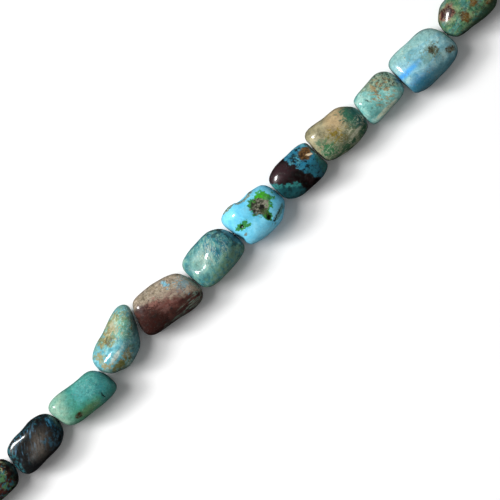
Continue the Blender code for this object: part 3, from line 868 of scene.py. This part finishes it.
def ply(route, phase):
    """One ply of the thread: rings of corners along a helix round the route."""
    ahead = np.gradient(route, axis=0)
    ahead /= np.linalg.norm(ahead, axis=1)[:, None]
    side = np.cross(ahead, NEVER_ALONG_THREAD)
    side /= np.linalg.norm(side, axis=1)[:, None]
    top = np.cross(side, ahead)
    reached = np.concatenate([[0], np.cumsum(np.linalg.norm(np.diff(route, axis=0), axis=1))])
    from_end = np.minimum(reached, reached[-1] - reached)
    spread = PLY_OFFSET + FRAY_SPREAD * np.clip(1 - from_end / FRAY_LENGTH, 0, 1) ** 2
    angle = phase + 2 * math.pi * reached / TWIST_PITCH
    centre = route + (side * np.cos(angle)[:, None] + top * np.sin(angle)[:, None]) * spread[:, None]
    rings = []
    for number in range(PLY_SIDES):
        around = 2 * math.pi * number / PLY_SIDES
        rings.append(centre + (side * math.cos(around) + top * math.sin(around)) * PLY_RADIUS)
    return np.stack(rings, axis=1)


def add_thread():
    centres = thread_route()
    back_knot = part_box("bead_01")[0].x / MM - KNOT_DISTANCE
    front_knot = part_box(f"bead_{BEAD_COUNT:02d}")[1].x / MM + KNOT_DISTANCE
    route = even_steps(centres, PLY_STEP)
    route = even_steps(wrap_knots(route, (back_knot, front_knot)), PLY_STEP)
    shape = bmesh.new()
    for number in range(PLY_COUNT):
        rings = ply(route, 2 * math.pi * number / PLY_COUNT)
        rings[:, :, 2] = np.maximum(rings[:, :, 2], PLY_FLOOR)
        rows = [[shape.verts.new(Vector(corner) * MM) for corner in ring] for ring in rings]
        for row, after in zip(rows, rows[1:]):
            for side in range(PLY_SIDES):
                beside = (side + 1) % PLY_SIDES
                shape.faces.new((row[side], row[beside], after[beside], after[side]))
        shape.faces.new(reversed(rows[0]))
        shape.faces.new(rows[-1])
    bmesh.ops.recalc_face_normals(shape, faces=shape.faces)
    mesh = bpy.data.meshes.new("twisted_thread")
    shape.to_mesh(mesh)
    shape.free()
    mesh.shade_smooth()
    mesh.materials.append(nylon())
    piece = bpy.data.objects.new("twisted_thread", mesh)
    bpy.context.scene.collection.objects.link(piece)
    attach(piece, "root")
    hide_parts("thread")
    return piece


def nylon():
    """White nylon with the fine lines of its filaments."""
    s = Stone("white_nylon", (0, 0, 0), 3, roughness=0.42, gloss=0.0)
    s.ground("d9d9d4", "ecece8", "f7f7f4", size=0.8)
    s.lay("c4c2b8", s.vein(0.25, 0.05, turn=35, stretch=(6, 1, 1)), 0.4)
    s.shader.inputs["Sheen Weight"].default_value = 0.2
    return s.done(grain=0.006, clouds=0.05, dots=0.0)


def pale_table():
    s = Stone("pale_table", (0, 0, 0), 5, roughness=0.6, gloss=0.0)
    s.ground("fbfbfb", "fdfdfd", size=30)
    s.shader.inputs["Specular IOR Level"].default_value = 0.1
    s.put(s.shader.inputs["Base Color"], s.colour)
    return s.material


def from_the_left(elevation):
    """A light's place on the photograph's left, at an elevation above the table."""
    level = LIGHT_DISTANCE * math.cos(math.radians(elevation))
    x = -level * math.cos(STRAND_TURN)
    y = level * math.sin(STRAND_TURN)
    return Vector((x, y, LIGHT_DISTANCE * math.sin(math.radians(elevation))))


def add_world():
    """A fill from above that fades towards the horizon, and is dark below it."""
    world = bpy.data.worlds.new("studio")
    bpy.context.scene.world = world
    world.use_nodes = True
    world.cycles_visibility.glossy = False
    tree = world.node_tree
    coordinates = tree.nodes.new("ShaderNodeTexCoord")
    parts = tree.nodes.new("ShaderNodeSeparateXYZ")
    ramp = tree.nodes.new("ShaderNodeValToRGB")
    tree.links.new(coordinates.outputs["Generated"], parts.inputs[0])
    tree.links.new(parts.outputs["Z"], ramp.inputs["Fac"])
    tree.links.new(ramp.outputs["Color"], tree.nodes["Background"].inputs["Color"])
    ramp.color_ramp.elements[0].color = (HORIZON_FILL, HORIZON_FILL, HORIZON_FILL, 1)
    ramp.color_ramp.elements[1].color = (ZENITH_FILL, ZENITH_FILL, ZENITH_FILL, 1)


def add_stage():
    """A wide pale table under a crisp light and a broad soft one, both from the left."""
    bpy.ops.mesh.primitive_plane_add(size=TABLE_SIZE, location=(0, 0, 0))
    table = bpy.context.object
    table.name = "table"
    table.data.materials.append(pale_table())
    table.visible_glossy = False
    add_world()
    add_light("crisp", *CRISP_LIGHT)
    broad = add_light("broad", *BROAD_LIGHT)
    broad.visible_glossy = False


def add_light(name, elevation, size, power):
    """A square light on the photograph's left, which faces the strand's middle."""
    lamp = bpy.data.lights.new(name, "AREA")
    lamp.shape = "SQUARE"
    lamp.size = size
    lamp.energy = power
    light = bpy.data.objects.new(name, lamp)
    light.location = from_the_left(elevation)
    light.rotation_euler = (-light.location).to_track_quat("-Z", "Y").to_euler()
    bpy.context.scene.collection.objects.link(light)
    return light


def add_camera():
    """Straight above the middle of the photograph's frame, rolled so that the strand climbs."""
    contact = (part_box("bead_14")[1].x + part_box("bead_15")[0].x) / 2
    target = Vector((contact, 0, 0)) + FRAME_SHIFT
    data = bpy.data.cameras.new("camera")
    data.sensor_width = SENSOR_WIDTH
    data.lens = SENSOR_WIDTH * CAMERA_HEIGHT / FRAME_WIDTH
    data.clip_start = NEAREST_SEEN
    camera = bpy.data.objects.new("camera", data)
    camera.location = target + Vector((0, 0, CAMERA_HEIGHT))
    camera.rotation_euler = (0, 0, -STRAND_TURN)
    bpy.context.scene.collection.objects.link(camera)
    bpy.context.scene.camera = camera


add_camera()
for index, bead_look in enumerate(BEHIND + PICTURED + AHEAD):
    add_nugget(index + 1, bead_look)
add_thread()
add_stage()
bpy.context.scene.view_settings.view_transform = "Standard"
